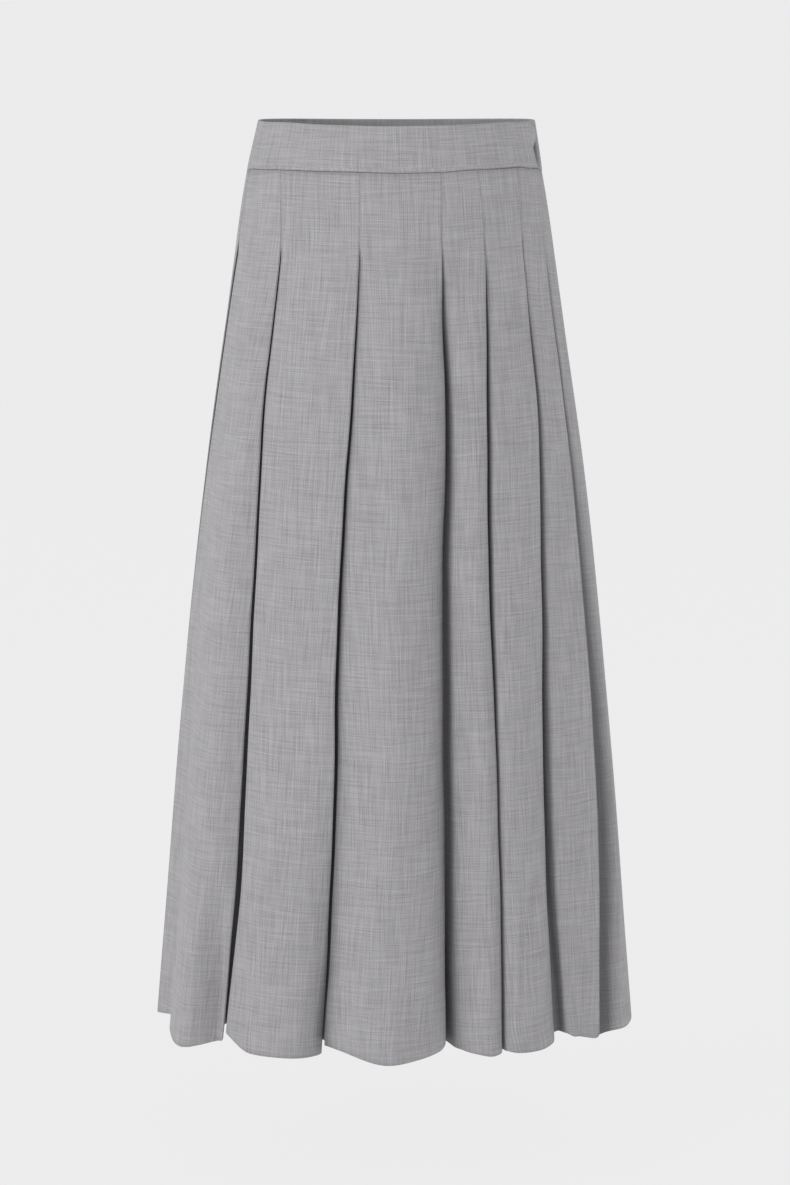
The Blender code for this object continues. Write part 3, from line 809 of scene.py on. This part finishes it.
def closure_shade(degrees, height):
    """The shade painted in the mouth of the closure, deepest half way up and gone at the band's two edges."""
    past = np.maximum(degrees - BAND_LAP_ANGLE - CLOSURE_SHADE_START, 0.0) / CLOSURE_SHADE_RUN
    upright = np.sin(math.pi * np.clip(height, 0.0, 1.0)) ** CLOSURE_SHADE_POWER
    return np.exp(-past * past) * upright


def no_shade(degrees, height):
    return 0.0 * degrees * height


def band_profile():
    """The band's closed outline: each point's depth, its share of the height, and how far its edge rounds on.

    The depth from the middle and the rounding are in half thicknesses. The outline goes up the outer face,
    over the rounded top edge, down the inner face and round the seam edge.
    """
    rise = np.linspace(0.0, 1.0, 15)[1:-1]
    top = np.linspace(0.0, math.pi, 9)
    bottom = np.linspace(0.0, math.pi, 7)
    depth = np.concatenate([-np.ones_like(rise), -np.cos(top), np.ones_like(rise), np.cos(bottom)])
    height = np.concatenate([rise, np.ones_like(top), rise[::-1], np.zeros_like(bottom)])
    edge = np.concatenate([0 * rise, np.sin(top), 0 * rise, -np.sin(bottom)])
    return depth, height, edge


def band_grid(degrees, inset, drop, ends, bend):
    """Points of the band, one closed outline at each angle; ends holds each one's share of the thickness."""
    depth, height, edge = (values[:, None] for values in band_profile())
    turn, out = bend(degrees[None, :], height)
    angle = np.radians(degrees[None, :] + turn)
    half = BAND_THICKNESS / 2 * ends[None, :]
    bottom = BAND_SEAM - seam_drop(angle)
    top = BAND_TOP + BAND_SIDE_RISE * np.cos(angle) ** 2 - drop[None, :]
    top = top + BAND_FRONT_RISE * ease((np.sin(angle) - BAND_FRONT_FROM) / BAND_FRONT_OVER)
    z = bottom + half + (top - bottom - 2 * half) * height + edge * half
    ripple = sum(np.sin(angle * waves + height * turned) * share for waves, turned, share in BAND_RIPPLES)
    ripple = ripple * BAND_RIPPLE * np.sin(math.pi * height)
    return on_ring(angle, inset[None, :] + depth * half - out + ripple, z)


def band_piece(name, degrees, inset, drop, bend, shade, node):
    """A closed tube of band outlines, narrowed and capped at both ends."""
    close = np.minimum(np.arange(len(degrees)), np.arange(len(degrees))[::-1])
    ends = np.array(BAND_END_SHARES)[np.minimum(close, len(BAND_END_SHARES) - 1)]
    points = band_grid(degrees, inset, drop, ends, bend)
    across = along_path(np.linalg.norm(np.diff(points[0], axis=0), axis=-1))
    around = along_path(np.linalg.norm(np.roll(points, -1, axis=0) - points, axis=-1).mean(axis=1))
    columns = points.transpose(1, 0, 2)
    rows, count = columns.shape[:2]
    faces = grid_faces(rows, count, closed=True)[:, ::-1]
    column = faces % count
    wrapped = (column == 0) & (column.max(axis=1, keepdims=True) == count - 1)
    uv = np.stack([across[faces // count], around[np.where(wrapped, count, column)]], axis=-1)
    piece = new_piece(name, columns.reshape(-1, 3), faces, uv, wool())
    write_shade(piece, shade(degrees[:, None], band_profile()[1][None, :]))
    cap_ends(piece, rows, count)
    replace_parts(piece, node)
    return piece


def cap_ends(piece, rows, count):
    """Closes both ends of a tube of outlines with one face each."""
    mesh = piece.data
    first = list(range(count))[::-1]
    last = [(rows - 1) * count + index for index in range(count)]
    shape = bmesh.new()
    shape.from_mesh(mesh)
    shape.verts.ensure_lookup_table()
    for loop in (first, last):
        shape.faces.new([shape.verts[index] for index in loop])
    bmesh.ops.recalc_face_normals(shape, faces=shape.faces)
    shape.to_mesh(mesh)
    shape.free()
    mesh.shade_smooth()


# Zip

def rows_by_height(node):
    """A CAD node's points, gathered into rows wherever the next point up is more than the row gap away."""
    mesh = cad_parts[node].data
    points = np.empty(3 * len(mesh.vertices))
    mesh.vertices.foreach_get("co", points)
    points = points.reshape(-1, 3)
    points = points[np.argsort(points[:, 2])]
    return np.split(points, np.flatnonzero(np.diff(points[:, 2]) > ROW_GAP) + 1)


def line_through(rows, z):
    """The middle of the rows at each height."""
    middles = np.array([row.mean(axis=0) for row in rows])
    return np.stack([smooth(z, middles[:, 2], middles[:, axis]) for axis in range(3)], axis=-1)


def zip_directions(z):
    """The tape's direction from edge to edge and the one from its back to its face, at each height."""
    rows = rows_by_height("zip_tape")
    widest = np.array([np.linalg.svd(row - row.mean(axis=0))[2][0] for row in rows])
    widest *= np.sign(widest @ widest[0])[:, None]
    heights = np.array([row[:, 2].mean() for row in rows])
    across = unit(np.stack([smooth(z, heights, widest[:, axis]) for axis in range(3)], axis=-1))
    faces = unit(np.cross(across, (0.0, 0.0, 1.0)))
    to_chain = line_through(rows_by_height("zip_chain"), z) - line_through(rows, z)
    return across, faces * np.sign((faces * to_chain).sum(axis=-1, keepdims=True))


def zip_tape_piece():
    """The woven tape, a flat strip along the CAD tape's middle line."""
    rows = rows_by_height("zip_tape")
    low, high = rows[0][:, 2].mean(), rows[-1][:, 2].mean()
    z = np.linspace(high, low, round((high - low) / TAPE_ROW_STEP))
    across, _ = zip_directions(z)
    side = np.linspace(-0.5, 0.5, TAPE_COLUMNS) * TAPE_WIDTH
    points = line_through(rows, z)[:, None, :] + across[:, None, :] * side[None, :, None]
    faces = grid_faces(len(z), TAPE_COLUMNS, closed=False)
    uv = np.stack([side[faces % TAPE_COLUMNS], z[faces // TAPE_COLUMNS]], axis=-1)
    piece = new_piece("zip_tape_woven", points.reshape(-1, 3), faces, uv, tape_finish())
    solidify(piece, TAPE_THICKNESS)
    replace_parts(piece, "zip_tape")
    return piece, float(high - low)


def tube(path, radius, sides):
    """Rings round a path: path + radius * (side * cos + top * sin), side and top square to the path."""
    ahead = unit(np.gradient(path, axis=0))
    side = unit(np.cross(ahead, (0.0, 0.0, 1.0)))
    top = np.cross(side, ahead)
    turn = np.linspace(0.0, 2 * math.pi, sides, endpoint=False)[None, :, None]
    ring = side[:, None, :] * np.cos(turn) + top[:, None, :] * np.sin(turn)
    return path[:, None, :] + radius * ring


def coil_piece(name, hand):
    """One half of the closed coil: a flattened helix down the chain, its wide side across the tape.

    Its path is the chain's middle + across * (offset + width * cos) + face * depth * sin, one turn to a
    pitch.
    """
    rows = rows_by_height("zip_chain")
    high, low = rows[-1][:, 2].mean(), rows[0][:, 2].mean()
    turns = (high - low) / COIL_PITCH
    count = round(turns * COIL_POINTS)
    z = np.linspace(high, low, count)
    turn = hand * (np.linspace(0.0, 2 * math.pi * turns, count) + (hand - 1) * math.pi / 2)[:, None]
    across, face = zip_directions(z)
    path = line_through(rows, z) + across * (hand * COIL_OFFSET + COIL_WIDTH * np.cos(turn))
    points = tube(path + face * COIL_DEPTH * np.sin(turn), COIL_WIRE, COIL_SIDES)
    faces = grid_faces(count, COIL_SIDES, closed=True)
    uv = np.stack([(faces % COIL_SIDES) * COIL_WIRE, z[faces // COIL_SIDES]], axis=-1)
    piece = new_piece(name, points.reshape(-1, 3), faces, uv, tape_finish())
    cap_ends(piece, count, COIL_SIDES)
    return piece


# Shading

class Value:
    """A number socket in a material: sums, differences and products with it add Math nodes."""

    def __init__(self, shading, socket):
        self.shading = shading
        self.socket = socket

    def math(self, operation, *others):
        return self.shading.node("ShaderNodeMath", {"operation": operation}, [self, *others])

    def __add__(self, other):
        return self.math("ADD", other)

    __radd__ = __add__

    def __sub__(self, other):
        return self.math("SUBTRACT", other)

    def __rsub__(self, other):
        return self.shading.node("ShaderNodeMath", {"operation": "SUBTRACT"}, [other, self])

    def __mul__(self, other):
        return self.math("MULTIPLY", other)

    __rmul__ = __mul__

    def clamped(self):
        return self.shading.node("ShaderNodeClamp", {}, [self, 0.0, 1.0])


class Shading:
    """A material under construction."""

    def __init__(self, name):
        self.material = bpy.data.materials.new(name)
        self.material.use_nodes = True
        self.tree = self.material.node_tree
        self.shader = self.tree.nodes["Principled BSDF"]

    def node(self, kind, settings, inputs, output=0):
        """Adds a node: its settings first, then each input by position or name, a link or a plain value."""
        made = self.tree.nodes.new(kind)
        for key, value in settings.items():
            setattr(made, key, value)
        pairs = inputs.items() if isinstance(inputs, dict) else enumerate(inputs)
        for key, value in pairs:
            self.feed(made.inputs[key], value)
        return Value(self, made.outputs[output])

    def feed(self, socket, value):
        if isinstance(value, Value):
            self.tree.links.new(value.socket, socket)
        else:
            socket.default_value = value

    def attribute(self, name):
        return self.node("ShaderNodeAttribute", {"attribute_name": name}, [], output="Fac")

    def uv(self):
        return self.node("ShaderNodeUVMap", {"uv_map": "cloth"}, [])

    def stretched(self, vector, across, down, turn):
        """The cloth's coordinates times these scales, in cells to the metre.

        The turn, in radians, comes after the scales: a streak keeps its direction but crosses the noise's
        cells aslant, so no two streaks start level with each other.
        """
        mapping = {"Vector": vector, "Scale": (across, down, 1.0), "Rotation": (0.0, 0.0, turn)}
        mapping["Location"] = (9.0 * turn, 5.0 * turn, 0.0)
        return self.node("ShaderNodeMapping", {"vector_type": "POINT"}, mapping)

    def place(self):
        return self.node("ShaderNodeTexCoord", {}, [], output="Object")

    def noise(self, vector, scale=1.0, detail=0.0, roughness=0.5, dimensions="2D"):
        inputs = {"Vector": vector, "Scale": scale, "Detail": detail, "Roughness": roughness}
        return self.node("ShaderNodeTexNoise", {"noise_dimensions": dimensions}, inputs, output="Fac")

    def mix(self, factor, first, second):
        """A colour between two, by a factor."""
        settings = {"data_type": "RGBA", "clamp_factor": True}
        return self.node("ShaderNodeMix", settings, {0: factor, 6: first, 7: second}, output=2)

    def bump(self, height, strength, distance):
        inputs = {"Strength": strength, "Distance": distance, "Height": height}
        return self.node("ShaderNodeBump", {}, inputs)

    def finish(self, **inputs):
        """Feeds the shader's inputs, each by its name in small letters with underscores."""
        for name, value in inputs.items():
            label = name.replace("_", " ").title().replace("Ior", "IOR")
            self.feed(self.shader.inputs[label], value)
        return self.material


def with_alpha(colour):
    return (*colour, 1.0)


def wool():
    """Plain-woven melange wool: light and dark yarns of uneven length run down and across the cloth."""
    found = bpy.data.materials.get("wool_cloth_finish")
    if found:
        return found
    shading = Shading("wool_cloth_finish")
    uv = shading.uv()
    warp = shading.noise(shading.stretched(uv, *WARP_YARNS), detail=1.0)
    weft = shading.noise(shading.stretched(uv, *WEFT_YARNS), detail=1.0)
    warp_streak = shading.noise(shading.stretched(uv, *WARP_STREAKS), detail=1.0)
    weft_streak = shading.noise(shading.stretched(uv, *WEFT_STREAKS), detail=1.0)
    fleck = shading.noise(shading.stretched(uv, *FLECKS))
    pattern = warp * 0.88 + weft * 0.72 + warp_streak * 0.2 + weft_streak * 0.2 + fleck * 0.6
    factor = (pattern - 0.8).clamped()
    light = with_alpha(colours().light_yarn)
    dark = with_alpha(colours().dark_yarn)
    # Shade painted into the wool's colour: each point is darkened towards a near-black by the shade its mesh
    # carries.
    in_shade = shading.attribute("painted_shade") * SHADE_STRENGTH
    colour = shading.mix(in_shade, shading.mix(factor, dark, light), PAINTED_SHADE_COLOUR)
    bump = shading.bump(warp + weft + fleck, strength=0.35, distance=0.0003)
    return shading.finish(
        base_color=colour, roughness=0.88, normal=bump, sheen_weight=0.12, sheen_roughness=0.5,
        specular_ior_level=0.25)


def tape_finish():
    """Woven polyester tape: fine ribs along it and slightly uneven yarns."""
    found = bpy.data.materials.get("zip_tape_finish")
    if found:
        return found
    shading = Shading("zip_tape_finish")
    uv = shading.uv()
    yarn = shading.noise(shading.stretched(uv, *TAPE_YARNS), detail=1.0)
    rib = shading.noise(shading.stretched(uv, *TAPE_RIBS), detail=1.0)
    factor = (yarn * 0.6 + rib * 0.4).clamped()
    colour = colours().tape
    dark = with_alpha([part * 0.72 for part in colour])
    light = with_alpha([part * 1.3 for part in colour])
    bump = shading.bump(yarn + rib, strength=0.4, distance=0.0002)
    return shading.finish(base_color=shading.mix(factor, dark, light), roughness=0.75, normal=bump)


def metal_finish():
    """Nickel-plated steel, faintly uneven from tumbling."""
    found = bpy.data.materials.get("zip_metal_finish")
    if found:
        return found
    shading = Shading("zip_metal_finish")
    scratch = shading.noise(shading.place(), scale=900.0, detail=3.0, roughness=0.7, dimensions="3D")
    roughness = scratch * 0.22 + 0.22
    colour = colours().metal
    dark = with_alpha([part * 0.88 for part in colour])
    light = with_alpha([part * 1.12 for part in colour])
    bump = shading.bump(scratch, strength=0.15, distance=0.00005)
    return shading.finish(
        base_color=shading.mix(scratch, dark, light), roughness=roughness, normal=bump, metallic=1.0)


# Operators

class SKIRT_OT_front(bpy.types.Operator):
    """Builds the pleated front of the skirt."""

    bl_idname = "skirt.front"
    bl_label = "Skirt Front"

    def execute(self, context):
        cloth_piece("skirt_front_cloth", FRONT_PANELS, "skirt_front")
        return {"FINISHED"}


class SKIRT_OT_back(bpy.types.Operator):
    """Builds the pleated back of the skirt."""

    bl_idname = "skirt.back"
    bl_label = "Skirt Back"

    def execute(self, context):
        cloth_piece("skirt_back_cloth", BACK_PANELS, "skirt_back")
        return {"FINISHED"}


class SKIRT_OT_waistband(bpy.types.Operator):
    """Builds the two halves of the waistband, the front one lapped over the back one."""

    bl_idname = "skirt.waistband"
    bl_label = "Waistband"

    def execute(self, context):
        middle = BAND_THICKNESS / 2 - BAND_PROUD
        start = math.degrees(fold_angle(-1, np.array([BAND_SEAM]))[0])
        degrees = np.concatenate([
            [start, start + 0.15],
            np.linspace(start + 0.4, BAND_LAP_ANGLE - 0.6, BAND_FRONT_COLUMNS),
            [BAND_LAP_ANGLE - 0.25, BAND_LAP_ANGLE],
        ])
        inset = np.full_like(degrees, middle)
        near_end = np.clip((degrees - BAND_LAP_ANGLE) / BAND_CORNER_RUN + 1, 0, 1)
        drop = BAND_CORNER_ROUND * near_end**2
        band_piece("waistband_front_cloth", degrees, inset, drop, front_end, no_shade, "waistband_front")
        arc = float(arc_per_radian(np.array([0.0]), np.array([BAND_SEAM]))[0])
        end = 360 + start - math.degrees(SEAM_GAP / arc) * BAND_GAP_FACTOR
        step_end = BAND_LAP_ANGLE + BAND_STEP_DEGREES
        degrees = np.concatenate([
            [BAND_UNDERLAP_ANGLE, BAND_UNDERLAP_ANGLE + 0.2],
            np.linspace(BAND_UNDERLAP_ANGLE + 0.5, BAND_LAP_ANGLE - 2.0, BAND_UNDERLAP_COLUMNS),
            np.linspace(BAND_LAP_ANGLE - 1.5, step_end, BAND_STEP_COLUMNS),
            np.linspace(step_end + 1.0, end - 0.4, BAND_BACK_COLUMNS),
            [end - 0.15, end],
        ])
        under = middle + BAND_THICKNESS + BAND_POCKET
        share = np.clip((degrees - BAND_LAP_ANGLE + 2.0) / (BAND_STEP_DEGREES + 2.0), 0, 1)
        near_lap = np.clip(1 - np.abs(degrees - BAND_LAP_ANGLE) / BAND_CORNER_DEGREES, 0, 1)
        near_lap[degrees < BAND_LAP_ANGLE] = 1.0
        inset = under + (middle - under) * ease(share)
        drop = BAND_CORNER_DROP * near_lap**2
        band_piece("waistband_back_cloth", degrees, inset, drop, back_side, closure_shade, "waistband_back")
        return {"FINISHED"}


class SKIRT_OT_fastenings(bpy.types.Operator):
    """Builds the zip's tape and coil, and gives its slider, the hook and the bar their metal finish."""

    bl_idname = "skirt.fastenings"
    bl_label = "Zip and Hook"

    def execute(self, context):
        tape, length = zip_tape_piece()
        for name, hand in (("zip_coil_left", -1), ("zip_coil_right", 1)):
            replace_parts(coil_piece(name, hand), "zip_chain")
        for name in ("zip_slider", "band_hook", "band_bar"):
            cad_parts[name].material_slots[0].material = metal_finish()
        return {"FINISHED"}


class SKIRT_OT_stage(bpy.types.Operator):
    """Sets up the pale floor, the soft lights and the camera at the photograph's angle."""

    bl_idname = "skirt.stage"
    bl_label = "Stage"

    def execute(self, context):
        scene = context.scene
        scene.view_settings.view_transform = "Standard"
        add_floor(scene)
        add_world(scene)
        for light in LIGHTS:
            add_light(scene, *light)
        add_camera(scene)
        return {"FINISHED"}


def add_floor(scene):
    square = ((-1, -1), (1, -1), (1, 1), (-1, 1))
    corners = [(FLOOR_HALF * x, FLOOR_HALF * y, FLOOR_HEIGHT) for x, y in square]
    mesh = bpy.data.meshes.new("floor")
    mesh.from_pydata(corners, [], [(0, 1, 2, 3)])
    glow = with_alpha(colours().backdrop)
    mesh.materials.append(Shading("floor_finish").finish(
        base_color=FLOOR_COLOUR, roughness=1.0, specular_ior_level=0.0, emission_color=glow,
        emission_strength=FLOOR_GLOW))
    floor = bpy.data.objects.new("floor", mesh)
    scene.collection.objects.link(floor)


def add_world(scene):
    """What the camera sees has the floor's tone; what lights the skirt is dimmer."""
    world = bpy.data.worlds.new("studio")
    scene.world = world
    world.use_nodes = True
    nodes, links = world.node_tree.nodes, world.node_tree.links
    background = nodes["Background"]
    background.inputs["Color"].default_value = with_alpha(colours().backdrop)
    path = nodes.new("ShaderNodeLightPath")
    strength = nodes.new("ShaderNodeMapRange")
    strength.inputs["To Min"].default_value = LIGHT_ON_SKIRT
    strength.inputs["To Max"].default_value = 1.0
    links.new(path.outputs["Is Camera Ray"], strength.inputs["Value"])
    links.new(strength.outputs["Result"], background.inputs["Strength"])


def add_light(scene, name, place, target, power):
    data = bpy.data.lights.new(name, "AREA")
    data.shape = "SQUARE"
    data.size = LIGHT_SIZE
    data.energy = power
    light = bpy.data.objects.new(name, data)
    light.location = place
    light.rotation_euler = (Vector(target) - Vector(place)).to_track_quat("-Z", "Y").to_euler()
    scene.collection.objects.link(light)


def add_camera(scene):
    """The lens gives one pixel to a millimetre at the aim, with the waist's middle on its own column."""
    data = bpy.data.cameras.new("camera")
    data.sensor_fit = "AUTO"
    data.sensor_width = SENSOR
    reach = math.hypot(CAMERA_DISTANCE, CAMERA_HEIGHT - AIM_HEIGHT)
    data.lens = SENSOR * reach / (PHOTO_SIZE[1] * MM)
    data.clip_end = CLIP_END
    side = (PHOTO_SIZE[0] / 2 - PHOTO_MIDDLE_COLUMN) * MM
    camera = bpy.data.objects.new("camera", data)
    camera.location = (side, -CAMERA_DISTANCE, CAMERA_HEIGHT)
    aim = Vector((side, 0.0, AIM_HEIGHT)) - camera.location
    camera.rotation_euler = aim.to_track_quat("-Z", "Y").to_euler()
    scene.collection.objects.link(camera)
    scene.camera = camera


class SKIRT_PT_sidebar(bpy.types.Panel):
    """Lists the skirt's pieces in the sidebar."""

    bl_idname = "SKIRT_PT_sidebar"
    bl_label = "Pleated Skirt"
    bl_space_type = "VIEW_3D"
    bl_region_type = "UI"
    bl_category = "Skirt"

    def draw(self, context):
        for group in (context.scene.skirt_sizes, context.scene.skirt_colours):
            for name in group.bl_rna.properties.keys():
                if name not in ("rna_type", "name"):
                    self.layout.prop(group, name)
        for operator in OPERATORS:
            self.layout.operator(operator.bl_idname)


OPERATORS = (SKIRT_OT_stage, SKIRT_OT_front, SKIRT_OT_back, SKIRT_OT_waistband, SKIRT_OT_fastenings)
CLASSES = (SkirtSizes, SkirtColours, *OPERATORS, SKIRT_PT_sidebar)


def register():
    for cls in CLASSES:
        bpy.utils.register_class(cls)
    bpy.types.Scene.skirt_sizes = bpy.props.PointerProperty(type=SkirtSizes)
    bpy.types.Scene.skirt_colours = bpy.props.PointerProperty(type=SkirtColours)


def unregister():
    del bpy.types.Scene.skirt_colours
    del bpy.types.Scene.skirt_sizes
    for cls in reversed(CLASSES):
        bpy.utils.unregister_class(cls)


def main():
    register()
    bpy.ops.skirt.stage()
    bpy.ops.skirt.front()
    bpy.ops.skirt.back()
    bpy.ops.skirt.waistband()
    bpy.ops.skirt.fastenings()
    bpy.context.view_layer.update()


if __name__ == "__main__":
    main()
